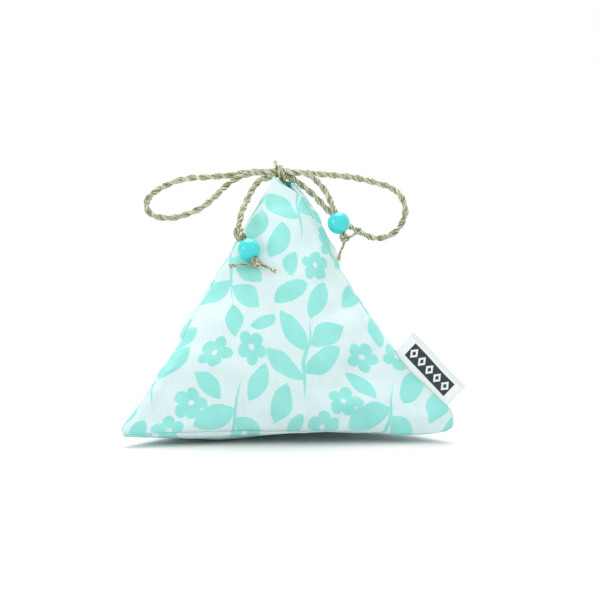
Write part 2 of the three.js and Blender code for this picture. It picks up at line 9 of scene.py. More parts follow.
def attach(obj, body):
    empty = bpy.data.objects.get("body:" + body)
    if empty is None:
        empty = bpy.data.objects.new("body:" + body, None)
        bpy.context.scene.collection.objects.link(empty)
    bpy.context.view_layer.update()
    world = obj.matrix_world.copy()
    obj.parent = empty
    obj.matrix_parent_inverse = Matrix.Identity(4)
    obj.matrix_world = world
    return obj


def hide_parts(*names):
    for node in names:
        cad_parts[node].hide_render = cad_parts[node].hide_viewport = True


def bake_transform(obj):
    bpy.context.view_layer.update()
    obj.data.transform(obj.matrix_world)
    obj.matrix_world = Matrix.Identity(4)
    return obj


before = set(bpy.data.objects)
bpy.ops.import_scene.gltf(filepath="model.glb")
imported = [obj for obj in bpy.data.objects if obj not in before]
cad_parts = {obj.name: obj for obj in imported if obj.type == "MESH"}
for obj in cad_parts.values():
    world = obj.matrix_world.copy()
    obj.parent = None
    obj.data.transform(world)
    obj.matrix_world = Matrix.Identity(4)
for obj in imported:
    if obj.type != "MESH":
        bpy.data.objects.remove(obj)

# A stuffed four-cornered cotton sachet with a cord bow, two beads and a ribbon label.
# Lengths are in millimetres until a mesh is made.
MM = 0.001

# The bag's seam length, its turn in degrees, its seam allowance and its corners' lift.
EDGE = 113.0
TURN = 5.3
SEAM_ALLOWANCE = 5.0
CORNER_LIFT = 4.0
HEIGHT = EDGE * math.sqrt(2 / 3)
ALTITUDE = EDGE * math.sqrt(3) / 2
CENTRE = np.array([0, 0, CORNER_LIFT + HEIGHT / 4])
# A side panel's swell and the power that shapes it, and the base's power.
SIDE_SWELL, BASE_FULLNESS = (8.0, 0.75), 0.4
TIP_SHARE = 8.4 / EDGE
TIP_TOP = CORNER_LIFT + HEIGHT * (1 - TIP_SHARE)
CLOTH = 0.45
RIBBON = 0.22
HEM_BOTTOM = TIP_TOP - SEAM_ALLOWANCE / (EDGE / math.sqrt(8)) * (TIP_TOP - CENTRE[2])
ANCHOR_TOP, ANCHOR_HALF = HEM_BOTTOM - 0.3, 2.2
BOW = np.array([-0.4, 1.9, TIP_TOP + 0.3 + 0.95 + 2.35])

CORD = 1.9
LAY = 9.0
PLY_AWAY = 0.46
PLY_RADIUS = 0.69
KNOT_LAY = 2.9

CAMERA_LENS = 91.68
CAMERA_RISE = math.radians(4)
CAMERA_FAR = 0.55
CAMERA_AIM = (0.00661, 0, 0.04728)


def unit(v):
    v = np.asarray(v, float)
    return v / np.maximum(np.linalg.norm(v, axis=-1, keepdims=True), 1e-12)


def smooth(x, low, high):
    t = np.clip((np.asarray(x, float) - low) / (high - low), 0, 1)
    return t * t * (3 - 2 * t)


def soft_noise(points, scale, seed):
    shift = Vector((seed * 17.3, seed * 5.1, seed * 9.7))
    return np.array([noise.noise(Vector(p) / scale + shift) for p in np.asarray(points, float)])


def metres(point):
    return tuple(float(x) * MM for x in point)


def mesh_piece(name, points, faces, attributes=None, smooth_faces=True):
    mesh = bpy.data.meshes.new(name)
    mesh.from_pydata((np.asarray(points, float) * MM).tolist(), [], [list(map(int, f)) for f in faces])
    if smooth_faces:
        mesh.polygons.foreach_set("use_smooth", [True] * len(mesh.polygons))
    for key, values in (attributes or {}).items():
        made = mesh.attributes.new(key, "FLOAT_VECTOR", "POINT")
        made.data.foreach_set("vector", np.asarray(values, np.float32).ravel())
    mesh.update()
    piece = bpy.data.objects.new(name, mesh)
    bpy.context.scene.collection.objects.link(piece)
    return piece


def thicken(piece, thickness):
    """Gives a sheet its thickness, inwards from the outer side."""
    thick = piece.modifiers.new("thickness", "SOLIDIFY")
    thick.thickness = thickness * MM
    thick.offset = -1


def photo_camera():
    data = bpy.data.cameras.new("photo_camera")
    data.lens = CAMERA_LENS
    data.sensor_width = 36
    data.clip_start = 0.01
    camera = bpy.data.objects.new("photo_camera", data)
    bpy.context.scene.collection.objects.link(camera)
    way = Vector((0, -math.cos(CAMERA_RISE), math.sin(CAMERA_RISE)))
    camera.location = Vector(CAMERA_AIM) + CAMERA_FAR * way
    camera.rotation_euler = (math.pi / 2 - CAMERA_RISE, 0, 0)
    bpy.context.scene.camera = camera


photo_camera()


def math_node(operation):
    """A method that adds a Math node."""
    return lambda self, *others: self.math(operation, *others)


class Value:
    """A number at each point of a surface. Python's operators on it add Math nodes."""

    def __init__(self, finish, socket):
        self.finish = finish
        self.socket = socket

    def math(self, operation, *others):
        return self.finish.node("Math", {"operation": operation}, dict(enumerate([self, *others])))

    __add__ = __radd__ = math_node("ADD")
    __mul__ = math_node("MULTIPLY")
    __sub__ = math_node("SUBTRACT")
    __truediv__ = math_node("DIVIDE")
    __pow__ = math_node("POWER")
    __abs__ = math_node("ABSOLUTE")
    at_least = math_node("MAXIMUM")
    at_most = math_node("MINIMUM")
    sine = math_node("SINE")

    def __rsub__(self, other):
        return self.finish.node("Math", {"operation": "SUBTRACT"}, {0: other, 1: self})

    def between(self, low, high):
        """0 at low, 1 at high, eased."""
        return self.finish.node("MapRange", {"interpolation_type": "SMOOTHSTEP"},
                                {"Value": self, "From Min": low, "From Max": high}, "Result")


class Finish:
    """A material and the nodes behind it."""

    def __init__(self, name):
        self.material = bpy.data.materials.new(name)
        self.material.use_nodes = True
        self.tree = self.material.node_tree
        self.tree.nodes.clear()

    def node(self, kind, settings=None, sockets=None, out=0):
        made = self.tree.nodes.new("ShaderNode" + kind)
        for key, value in (settings or {}).items():
            setattr(made, key, value)
        for key, value in (sockets or {}).items():
            socket = made.inputs[key]
            if isinstance(value, Value):
                self.tree.links.new(value.socket, socket)
            elif isinstance(value, (int, float)):
                socket.default_value = value
            else:
                socket.default_value = (*value, 1) if len(socket.default_value) == 4 else tuple(value)
        return Value(self, made.outputs[out])

    def vector(self, operation, *others, out=0):
        return self.node("VectorMath", {"operation": operation}, dict(enumerate(others)), out)

    def mix(self, factor, first, second, blend="MIX"):
        sockets = {0: factor, 6: first, 7: second}
        return self.node("Mix", {"data_type": "RGBA", "blend_type": blend}, sockets, 2)

    def ramp(self, factor, *stops):
        made = self.node("ValToRGB", None, {"Fac": factor})
        elements = made.socket.node.color_ramp.elements
        while len(elements) < len(stops):
            elements.new(0.5)
        for element, (place, colour) in zip(elements, stops):
            element.position = place
            element.color = (*colour, 1)
        return made

    def attribute(self, name):
        return self.node("Attribute", {"attribute_name": name}, out="Vector")

    def parts(self, vector):
        made = self.node("SeparateXYZ", None, {0: vector}).socket.node
        return [Value(self, output) for output in made.outputs]

    def noise(self, vector, scale, detail=2.0, roughness=0.5, out="Fac"):
        sockets = {"Vector": vector, "Scale": scale, "Detail": detail, "Roughness": roughness}
        return self.node("TexNoise", None, sockets, out)

    def bump(self, height, distance, strength=1.0):
        return self.node("Bump", None, {"Height": height, "Distance": distance, "Strength": strength})

    def surface(self, **sockets):
        named = {key.replace("_", " "): value for key, value in sockets.items()}
        shader = self.node("BsdfPrincipled", None, named)
        last = self.tree.nodes.new("ShaderNodeOutputMaterial")
        self.tree.links.new(shader.socket, last.inputs["Surface"])
        return self.material


# One repeat of the print, 52 by 58 mm: two sprigs, loose leaves and open blossoms.
REPEAT = (52, 58, 1000)
SPRIGS = [
    # middle, heading, bend, stem ends, leaves as (place on the stem, angle, length, width)
    ((12.5, 27), 82, 1.6, (-17, 12),
     [(-10, 50, 15.5, 7.4), (-7.5, -48, 16, 7.8), (1.5, 46, 15, 7.2), (3.5, -50, 14.5, 7),
      (11.5, 0, 14.5, 6.8)]),
    ((38.5, -1), -97, -1.8, (-17, 12.5),
     [(-9, -50, 15, 7.6), (-6, 50, 15.5, 7.2), (2.5, -46, 14.5, 7), (5, 49, 13.5, 6.6),
      (12, 0, 13.5, 6.4)]),
]
BLOSSOMS = [((15.5, 0.6), 0.68), ((44.4, 27.8), 2.46), ((31.6, 27.1), 1.97), ((22.9, 9.3), 1.51)]
LOOSE_LEAVES = [
    ((6.9, 48.2), 34, 14, 6.8, 0.7), ((46, 16), 65, 14, 6.8, -0.7), ((1.5, 9.1), 70, 14, 6.8, -0.7),
    ((29.2, 15.6), 127, 12, 6, -0.7), ((48.1, 37.6), 30, 9.5, 4.8, -0.7), ((6.7, 0.5), 76, 9.5, 4.8, 0.7),
]


def sprig_blades(middle, heading, bend, stem, leaves):
    """The stem and leaves of a sprig: middle, heading, length, width and bend of each."""
    turn = math.radians(heading)
    low, high = stem
    radius = ((high - low) ** 2 / 4 + bend ** 2) / (2 * bend)

    def put(along, across):
        return (middle[0] + along * math.cos(turn) - across * math.sin(turn),
                middle[1] + along * math.sin(turn) + across * math.cos(turn))

    blades = [(put((low + high) / 2, 0), heading, high - low, 1.0, bend)]
    for place, angle, length, width in leaves:
        x = place - (low + high) / 2
        across = math.copysign(math.sqrt(max(radius ** 2 - x ** 2, 0)), bend) - radius + bend
        out = math.radians(angle) - math.asin(max(-1, min(1, x / radius)))
        reach = 0.5 + length / 2
        spot = put(place + reach * math.cos(out), across + reach * math.sin(out))
        blades.append((spot, heading + math.degrees(out), length, width, math.copysign(0.5, angle)))
    return blades


def print_mask(finish, cloth):
    """1 on the turquoise print, 0 on the white ground."""
    wander = finish.vector("SUBTRACT", finish.noise(cloth, 0.07, 1.5, out="Color"), (0.5, 0.5, 0.5))
    place = finish.vector("ADD", cloth, finish.vector("MULTIPLY", wander, (4.5, 4.5, 0.0)))
    high, low = [x / 2 for x in REPEAT], [-x / 2 for x in REPEAT]

    def around(middle):
        moved = finish.vector("SUBTRACT", place, (*middle, 0))
        return finish.node("VectorMath", {"operation": "WRAP"}, {0: moved, 1: high, 2: low})

    def blade(middle, heading, length, width, bend):
        """Below 0 inside a pointed leaf or stem, where two round sides overlap."""
        spot, turn, sides = around(middle), math.radians(heading), []
        for sign, height in ((1, width / 2 + bend), (-1, width / 2 - bend)):
            radius = (length ** 2 / 4 + height ** 2) / (2 * height)
            centre = sign * (height - radius)
            middle_of_arc = (-math.sin(turn) * centre, math.cos(turn) * centre, 0)
            away = finish.vector("DISTANCE", spot, middle_of_arc, out="Value")
            sides.append(away - radius if height > 0 else -radius - away)
        return sides[0].at_least(sides[1])

    def blossom(middle, spin):
        spot = around(middle)
        x, y, _ = finish.parts(spot)
        far = finish.vector("LENGTH", spot, out="Value")
        petals = abs((y.math("ARCTAN2", x) * 2.5 + spin).sine()) ** 0.6
        return (far - (petals * 2.25 + 3.35)).at_least(1.1 - far)

    blades = [blade for sprig in SPRIGS for blade in sprig_blades(*sprig)] + LOOSE_LEAVES
    shapes = [blade(*one) for one in blades] + [blossom(*one) for one in BLOSSOMS]
    nearest = shapes[0]
    for shape in shapes[1:]:
        nearest = nearest.at_most(shape)
    return 1 - nearest.between(-0.12, 0.26)


YARN = 0.6


def printed_canvas():
    finish = Finish("printed_canvas")
    cloth = finish.attribute("cloth")
    mask = print_mask(finish, cloth)
    drift = finish.noise(cloth, 0.5, out="Color")
    u, v, _ = finish.parts(finish.vector("ADD", cloth, finish.vector("MULTIPLY", drift, (0.55, 0.55, 0))))
    warp_slub = finish.noise(finish.vector("MULTIPLY", cloth, (1.9, 0.08, 0)), 1.0, 1.0)
    weft_slub = finish.noise(finish.vector("MULTIPLY", cloth, (0.08, 1.9, 0)), 1.0, 1.0)
    warp, weft = ((x * (math.pi / YARN)).sine() for x in (u, v))
    over = warp * weft
    weave = (abs(warp) + abs(weft)) * 0.35 + over * 0.25 + (warp_slub + weft_slub) * 0.25
    tone = finish.noise(cloth, 0.12, 3.0)
    patchy = (warp_slub * 0.4 + tone * 0.6).between(0.3, 0.7)
    ground = finish.mix(patchy, (0.59, 0.74, 0.75), (0.655, 0.79, 0.795))
    ink = finish.mix(tone.between(0.3, 0.7), (0.24, 0.665, 0.61), (0.285, 0.72, 0.665))
    worn = mask * (1 - (over * weft_slub).between(0.2, 0.6) * 0.18)
    return finish.surface(
        Base_Color=finish.mix(worn, ground, ink),
        Roughness=0.88,
        Sheen_Weight=0.25,
        Sheen_Roughness=0.5,
        Normal=finish.bump(weave, 0.00009, 0.45),
    )


def natural_cord():
    finish = Finish("natural_cord")
    fibre = finish.attribute("fibre")
    streak = finish.noise(finish.vector("MULTIPLY", fibre, (0.4, 2.7, 2.7)), 1.0, 3.0, 0.6) * 1.6 - 0.3
    # The lay attribute holds how far each point lies out from the cord's own line; it drives the painted
    # shade below.
    out, _, _ = finish.parts(finish.attribute("lay"))
    blotch = finish.noise(finish.vector("MULTIPLY", fibre, (0.22, 0.6, 0.6)), 1.0)
    ramp = finish.ramp(streak, (0.30, (0.10, 0.10, 0.055)), (0.43, (0.33, 0.335, 0.22)),
                       (0.58, (0.60, 0.62, 0.46)), (0.72, (0.90, 0.92, 0.78)))
    warm = finish.mix(blotch.between(0.35, 0.7), (0.90, 0.96, 0.84), (1.06, 1.0, 0.97))
    # Painted shade: the colour darkens towards the cord's own line, in the grooves between its plies.
    deep = finish.mix(out.between(0.25, 0.8), (0.42, 0.42, 0.36), (1, 1, 1))
    return finish.surface(
        Base_Color=finish.mix(1.0, finish.mix(1.0, ramp, warm, "MULTIPLY"), deep, "MULTIPLY"),
        Roughness=0.74 + streak * 0.15,
        Sheen_Weight=0.15,
        Normal=finish.bump(streak, 0.00025, 0.9),
    )


def glossy_bead():
    finish = Finish("glossy_bead")
    place = finish.node("TexCoord", out="Object")
    cloud = finish.noise(place, 260, 3.0)
    colour = finish.mix(cloud.between(0.3, 0.75), (0.011, 0.575, 0.60), (0.022, 0.66, 0.66))
    marks = finish.noise(place, 900)
    return finish.surface(
        Base_Color=colour,
        Roughness=0.2 + marks * 0.1,
        Coat_Weight=0.8,
        Coat_Roughness=0.2,
        Normal=finish.bump(cloud, 0.00008, 0.25),
    )


def woven_ribbon():
    """White satin with a charcoal row of lozenges. The attribute holds along, out and layer."""
    finish = Finish("woven_ribbon")
    ribbon = finish.attribute("ribbon")
    a, o, _ = finish.parts(finish.vector("SNAP", ribbon, (0.2, 0.2, 100)))
    row = a.math("PINGPONG", 1.95)
    high = abs(o - 4.0)
    lozenge = 1 - (row / 1.6 + high / 2.15).between(0.97, 1.03)
    heart = 1 - (row / 0.75 + high).between(0.95, 1.05)
    band = 1 - (abs(a) - 9.9).at_least(high - 3.0).between(-0.05, 0.05)
    mask = band * (1 - lozenge + heart)
    u, v, _ = finish.parts(ribbon)
    ribs = (v * (2 * math.pi / 0.36)).sine() * 0.5 + (u * (2 * math.pi / 0.5)).sine() * 0.3
    outer, inner = (1 - abs(v - place).between(0.04, 0.14) for place in (9.0, 8.2))
    edge_line = outer.at_least(inner)
    white = finish.mix(edge_line * 0.8, (0.80, 0.845, 0.845), (0.36, 0.42, 0.42))
    return finish.surface(
        Base_Color=finish.mix(mask, white, (0.018, 0.024, 0.027)),
        Roughness=0.42 + mask * 0.3,
        Sheen_Weight=0.3,
        Normal=finish.bump(ribs, 0.00005, 0.5),
    )


def dried_filling():
    finish = Finish("dried_filling")
    place = finish.node("TexCoord", out="Object")
    cells = {"Vector": place, "Scale": 420}
    buds, tint = (finish.node("TexVoronoi", None, cells, out) for out in ("Distance", "Color"))
    shade, _, _ = finish.parts(tint)
    return finish.surface(
        Base_Color=finish.ramp(shade, (0.0, (0.10, 0.07, 0.14)), (0.4, (0.19, 0.15, 0.26)),
                               (0.75, (0.26, 0.22, 0.20)), (1.0, (0.22, 0.23, 0.13))),
        Roughness=0.92,
        Normal=finish.bump(1 - buds, 0.0012, 0.8),
    )


def plain_floor():
    finish = Finish("plain_floor")
    place = finish.node("TexCoord", out="Object")
    grain = finish.noise(place, 300)
    return finish.surface(Base_Color=(0.74, 0.74, 0.74), Roughness=0.8 + grain * 0.1)


FINISHES = {make.__name__: make() for make in
            (printed_canvas, natural_cord, glossy_bead, woven_ribbon, dried_filling)}


def dress(piece, slot, body, *nodes):
    """The piece's finish, the body it rides on and the CAD nodes it stands for."""
    piece.data.materials.append(FINISHES[slot])
    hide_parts(*nodes)
    if body:
        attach(piece, body)
    return piece


LEFT_LOOP = [
    (-5.25, 1.1, 0.2), (-7.5, 1.15, 0.3), (-11.2, 1.2, 0.2), (-19, 1.5, -1), (-26.7, 1, -1.6),
    (-34.4, 0, -2.3), (-40.2, -1, -4.2), (-45.1, -2, -7), (-47.6, -3, -10), (-47.3, -4, -13.5),
    (-44.5, -5, -15.6), (-38.7, -5.5, -16.2), (-33.3, -5.5, -14.8), (-28.3, -5, -12.7),
    (-24.1, -4, -9.3), (-20.7, -3, -5.9), (-16.9, -2, -2.8), (-13, -1.3, -1), (-9.1, -1.1, 0),
    (-7.5, -1.1, 0.15), (-5.25, -1.1, 0.2),
]
RIGHT_LOOP = [
    (5.25, 1.1, -0.1), (6.5, 1.15, 0), (8.5, 1.2, 0), (12.3, 1.5, -0.3), (18.9, 1.5, -0.9),
    (25.4, 1, -1.6), (29.7, 0.5, -2.4), (34, 0, -3.6), (38.7, 0, -5), (42.2, 0, -7.2),
    (44.2, 0, -10.5), (44.9, 0.5, -13.6), (44.2, 1, -17.1), (42.3, 1.5, -20.4), (39, 2, -22.8),
    (34.2, 2.5, -23.6), (30.3, 2.5, -22.2), (25.5, 2.5, -19.6), (21.4, 2.3, -16.5),
    (17.3, 2, -13.6), (14.4, 1.5, -10.7), (11.6, 0.9, -7.8), (9.6, 0.2, -6.1), (7.8, -0.6, -4.7),
    (6.3, -1.2, -3.5), (4.9, -1.4, -2.5),
]
LEFT_TAIL = [
    (-5.25, -0.6, -2), (-6.7, -0.9, -2.3), (-8.7, -3.2, -4.3), (-10.6, -6.4, -7.5),
    (-12, -10.2, -10.6), (-13.3, -13.8, -13.8), (-13.9, -16.2, -16.6),
]
RIGHT_TAIL = [
    (5.25, -3.2, 0.1), (7, -3.3, 0.1), (9.9, -4.1, -0.6), (12.6, -5.4, -2.6), (15.2, -6.8, -5.6),
    (17.1, -8, -8.6),
]
LEFT_BEAD, LEFT_HEADING = np.array([-10.7, -21.9, -26.9]), unit([5.7, -4.6, -9.5])
RIGHT_BEAD, RIGHT_HEADING = np.array([20.7, -10, -17.9]), unit([4.2, -1.6, -11.2])
BEAD_RADIUS, BORE_RADIUS = 4.0, 1.25
BEAD_HALF = math.sqrt(BEAD_RADIUS ** 2 - BORE_RADIUS ** 2)
LEFT_STRANDS = [
    [(-8.5, -24.1, -31.5), (-10.4, -24.2, -31.5), (-13, -24, -32.1), (-15.4, -23.2, -32.2),
     (-17.6, -22.7, -32.7)],
    [(-7.4, -24.2, -31.6), (-5.6, -24.6, -32.2), (-3.9, -24.9, -33), (-2.8, -25, -33.6),
     (-1.2, -25.1, -34.2)],
]
RIGHT_STRANDS = [
    [(22.6, -10.9, -24), (22.2, -11.5, -26.1), (21.4, -12.3, -27.6), (20.9, -13.4, -29.2),
     (20.5, -14.5, -31)],
    [(23.3, -10.8, -23), (24.9, -10.9, -22.6), (26, -11.5, -22), (27.2, -12, -21.2),
     (28.2, -12.5, -19.6)],
]


def curve_through(route, step=0.25):
    """Evenly spaced points on a smooth curve through the route."""
    p = np.asarray(route, float)
    p = np.vstack([2 * p[0] - p[1], p, 2 * p[-1] - p[-2]])
    line = []
    for p0, p1, p2, p3 in zip(p[:-3], p[1:-2], p[2:-1], p[3:]):
        d0, d1, d2 = (max(np.linalg.norm(b - a), 1e-6) ** 0.5 for a, b in ((p0, p1), (p1, p2), (p2, p3)))
        m1 = ((p1 - p0) / d0 - (p2 - p0) / (d0 + d1) + (p2 - p1) / d1) * d1
        m2 = ((p2 - p1) / d1 - (p3 - p1) / (d1 + d2) + (p3 - p2) / d2) * d1
        t = np.linspace(0, 1, 40, endpoint=False)[:, None]
        line.append((2 * t**3 - 3 * t**2 + 1) * p1 + (t**3 - 2 * t**2 + t) * m1
                    + (3 * t**2 - 2 * t**3) * p2 + (t**3 - t**2) * m2)
    line = np.vstack([*line, p[-2]])
    lengths = arc_lengths(line)
    steps = max(2, math.ceil(lengths[-1] / step))
    at = np.linspace(0, lengths[-1], steps + 1)
    return np.stack([np.interp(at, lengths, line[:, i]) for i in range(3)], axis=1)


def arc_lengths(line):
    return np.concatenate([[0], np.cumsum(np.linalg.norm(np.diff(line, axis=0), axis=1))])


def quads(loops):
    """Faces between each closed loop of places and the next."""
    return [(one[i], one[(i + 1) % len(one)], two[(i + 1) % len(one)], two[i])
            for one, two in zip(loops, loops[1:]) for i in range(len(one))]


def side_axes(line):
    """Two axes across the line at each point, carried along it without twist."""
    tangents = unit(np.gradient(line, axis=0))
    axis = unit(np.cross(tangents[0], [0.3, 0.2, 1.0]))
    ones = []
    for t in tangents:
        axis = unit(axis - np.dot(axis, t) * t)
        ones.append(axis)
    ones = np.array(ones)
    return ones, np.cross(tangents, ones)


# A ply's sides, the depth of the grooves between its yarns and the length of their turn.
STRAND_SIDES, GROOVES, YARN_LAY = 12, 0.12, 6.5
# A loose fibre: its radius, and three sides in two stretches to a point.
HAIR_RADIUS = 0.032
HAIR_FACES = [(0, 1, 4, 3), (3, 4, 6), (1, 2, 5, 4), (4, 5, 6), (2, 0, 3, 5), (5, 3, 6), (2, 1, 0)]


class Strands:
    """Collects swept strands into one mesh."""

    def __init__(self, seed):
        self.points, self.faces, self.fibres, self.groove_shade_levels = [], [], [], []
        self.count = 0
        self.random = np.random.default_rng(seed)

    def add(self, points, faces, fibres, out=1.0):
        """Out is 0 on the cord's own line and 1 at its outside; the cord's finish paints shade where it is
        low.
        """
        self.points.append(points)
        self.groove_shade_levels.append(np.broadcast_to(np.reshape(out, (-1, 1)), (len(points), 3)))
        self.faces += [[i + self.count for i in face] for face in faces]
        self.fibres.append(fibres)
        self.count += len(points)

    def sweep(self, line, radius, core):
        """One strand along the line, with shallow grooves between its yarns and rounded ends."""
        sides = STRAND_SIDES
        ones, twos = side_axes(line)
        along = arc_lengths(line)
        ends = np.minimum(smooth(along, -0.35, 0.5), smooth(along[-1] - along, -0.35, 0.5))
        seed = self.random.uniform(0, 900)
        spots = np.arange(0, along[-1] + 3, 1.3)
        lumps = 1 + 0.10 * np.interp(along, spots, self.random.uniform(-1, 1, len(spots)))
        angles = 2 * np.pi * np.arange(sides) / sides
        turn = angles - (2 * np.pi * along / YARN_LAY)[:, None]
        reach = (radius * ends * lumps)[:, None] * (1 + GROOVES * np.cos(4 * turn))
        around = np.cos(angles)[:, None] * ones[:, None] + np.sin(angles)[:, None] * twos[:, None]
        rings = line[:, None] + reach[..., None] * around
        fibres = np.stack([np.broadcast_to(along[:, None] + seed, reach.shape),
                           reach * np.cos(turn), reach * np.sin(turn)], axis=-1)
        points = np.vstack([rings.reshape(-1, 3), line[:1], line[-1:]])
        fibre = np.vstack([fibres.reshape(-1, 3), [[seed, 0, 0], [seed + along[-1], 0, 0]]])
        end = len(line) * sides
        faces = quads(np.arange(end).reshape(-1, sides))
        for i in range(sides):
            n = (i + 1) % sides
            faces += [(end, n, i), (end + 1, end - sides + i, end - sides + n)]
        # Each point's distance from the cord's own line, 1 at the outside; the finish paints shade in the
        # grooves where it is small.
        middles = np.vstack([np.repeat(core, sides, axis=0), core[:1], core[-1:]])
        out = np.linalg.norm(points - middles, axis=1)
        self.add(points, faces, fibre, out / np.percentile(out, 97))

    def twisted(self, line, away=PLY_AWAY, radius=PLY_RADIUS, lay=LAY, phase=0.0, plies=2):
        """Plies laid round each other along the line."""
        ones, twos = side_axes(line)
        along = arc_lengths(line)
        away = np.reshape(away, (-1, 1))
        for k in range(plies):
            angle = 2 * np.pi * (along / lay + k / plies) + phase
            ply = line + away * (np.cos(angle)[:, None] * ones + np.sin(angle)[:, None] * twos)
            self.sweep(ply, radius, line)

    def hairs(self, line, per_mm=1.4, start=0.72, longest=1.5):
        """Loose fibres that stand off a cord."""
        ones, twos = side_axes(line)
        tangents = unit(np.gradient(line, axis=0))
        for _ in range(int(arc_lengths(line)[-1] * per_mm)):
            i = self.random.integers(2, len(line) - 2)
            angle = self.random.uniform(0, 2 * math.pi)
            out = math.cos(angle) * ones[i] + math.sin(angle) * twos[i]
            lean = unit(out * self.random.uniform(0.25, 0.9)
                        + tangents[i] * self.random.choice([-1, 1]) * self.random.uniform(0.5, 1.0))
            long = self.random.uniform(0.5, longest)
            root = line[i] + out * start
            curl = np.cross(lean, out) * self.random.uniform(-0.35, 0.35) * long
            spots = [root, root + lean * long * 0.55, root + lean * long + curl]
            side = unit(np.cross(lean, out)) * HAIR_RADIUS
            up = unit(np.cross(side, lean)) * HAIR_RADIUS
            points = []
            for spot, thick in zip(spots[:2], (1.0, 0.8)):
                low = spot - side * thick * 0.5
                points += [spot + side * thick, low + up * thick, low - up * thick]
            points.append(spots[2])
            fibre = [self.random.uniform(0, 900), 0.2, 0.2]
            self.add(np.array(points), HAIR_FACES, np.tile(fibre, (7, 1)))

    def piece(self, name):
        layers = {"fibre": np.vstack(self.fibres), "lay": np.vstack(self.groove_shade_levels)}
        return mesh_piece(name, np.vstack(self.points), self.faces, layers)


def cord_piece(name, route, seed, **twist):
    line = curve_through(BOW + route)
    strands = Strands(seed)
    strands.twisted(line, **twist)
    strands.hairs(line)
    return strands.piece(name), line


LOOPS = [
    # side, its first points under the wrap, its route, its last points, seed, way out, hinge
    ("left", [(1.2, 0.6, 0.7), (-1.8, 0.65, 0.62), (-3.8, 0.95, 0.4)], LEFT_LOOP,
     [(-3.8, -0.95, 0.3), (-1.8, -0.6, 0.3), (1.2, -0.6, 0.3)], 11, -1, (-5.25, 0, 0.2)),
    ("right", [(-1.2, 0.6, -0.5), (1.8, 0.65, -0.4), (3.8, 0.95, -0.2)], RIGHT_LOOP,
     [(3.2, -1.1, -1.7), (1.5, -0.8, -1.1), (-1.2, -0.6, -0.5)], 12, 1, (5.25, 0, -0.1)),
]


def bow_loops():
    for side, start, route, end, seed, out, joint in LOOPS:
        loop, line = cord_piece(f"{side}_loop_strands", [*start, *route, *end], seed)
        dress(loop, "natural_cord", None, f"{side}_loop_cord")
        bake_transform(loop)


def bead_piece(side, place, heading):
    """A moulded bead: a round body whose bore has rounded mouths."""
    lip = 0.35
    start = math.asin((BEAD_HALF - lip * 0.4) / BEAD_RADIUS)
    angles = [-start + 2 * start * i / 32 for i in range(33)]
    profile = [(BEAD_RADIUS * math.cos(angle), BEAD_RADIUS * math.sin(angle)) for angle in angles]
    top = profile[-1][1]
    mouth = [(BORE_RADIUS + r, top + h) for r, h in ((lip * 0.45, 0.06), (0.04, -0.12), (-0.02, -0.4))]
    profile += mouth + [(BORE_RADIUS - 0.02, 0.0)] + [(r, -h) for r, h in reversed(mouth)]
    one = unit(np.cross(heading, [0.2, 0.1, 1.0]))
    two = np.cross(heading, one)
    segments = 56
    points, faces = [], []
    for i in range(segments):
        angle = 2 * math.pi * i / segments
        for r, h in profile:
            points.append(place + heading * h + one * r * math.cos(angle) + two * r * math.sin(angle))
    n = len(profile)
    for i in range(segments):
        here, ahead = i * n, (i + 1) % segments * n
        faces += [(here + j, ahead + j, ahead + (j + 1) % n, here + (j + 1) % n) for j in range(n)]
    bead = mesh_piece(f"{side}_round_bead", points, faces)
    return dress(bead, "glossy_bead", f"{side}_bead", f"{side}_bead")


def knot_line(place, heading, radius, sway, half, spin=0.0):
    """A line that winds round a cord and crosses itself, as a tied knot does."""
    turns, lobes = 2, 3
    one = unit(np.cross(heading, [0.2, 1.0, 0.1]))
    two = np.cross(heading, one)
    t = np.linspace(0, 2 * np.pi, 40 * turns)
    angle = turns * t + spin
    out = radius + sway * np.cos(lobes * t)
    return (place + heading * (half * np.sin(lobes * t))[:, None]
            + one * (out * np.cos(angle))[:, None] + two * (out * np.sin(angle))[:, None])


def knot_piece(node, place, heading, seed, body, shape):
    strands = Strands(seed)
    radius, sway, half, away, ply, spin = shape
    line = knot_line(place, heading, radius, sway, half, spin)
    strands.twisted(line, away=away, radius=ply, lay=KNOT_LAY)
    strands.hairs(line, per_mm=0.7, start=0.5, longest=1.0)
    return dress(strands.piece(f"{node}_strands"), "natural_cord", body, node)


def frayed_piece(side, number, route, seed):
    """One ply of the cord end, its yarns parting towards the tip."""
    line = curve_through(BOW + route, 0.2)
    strands = Strands(seed)
    along = arc_lengths(line) / arc_lengths(line)[-1]
    spread = 0.2 + 0.5 * smooth(along, 0.55, 1.15)
    strands.twisted(line, away=spread, radius=0.28, lay=3.4, plies=3)
    strands.hairs(line, per_mm=1.6, start=0.3, longest=1.1)
    piece = strands.piece(f"{side}_frayed_{number}")
    return dress(piece, "natural_cord", f"{side}_tail", f"{side}_strand_{number}")


TAILS = [
    # side, its first points under the wrap, its route, bead, heading and ends, seed, room for a stop knot
    ("left", [(1.5, -0.5, -0.6), (-1.8, -0.6, -0.8), (-3.9, -0.5, -1.6)],
     LEFT_TAIL, LEFT_BEAD, LEFT_HEADING, LEFT_STRANDS, 21, 5.2),
    ("right", [(-1.2, -0.9, 0.5), (1.6, -1.2, 0.4), (3.6, -2.5, 0.1)],
     RIGHT_TAIL, RIGHT_BEAD, RIGHT_HEADING, RIGHT_STRANDS, 31, 0),
]
# A knot line's radius, sway and half height, its plies' distance and radius, and its spin.
STOP_KNOT = (1.35, 0.35, 1.75, 0.3, 0.4, 0.6)
END_KNOT = (1.1, 0.3, 1.0, 0.22, 0.32, 1.3)


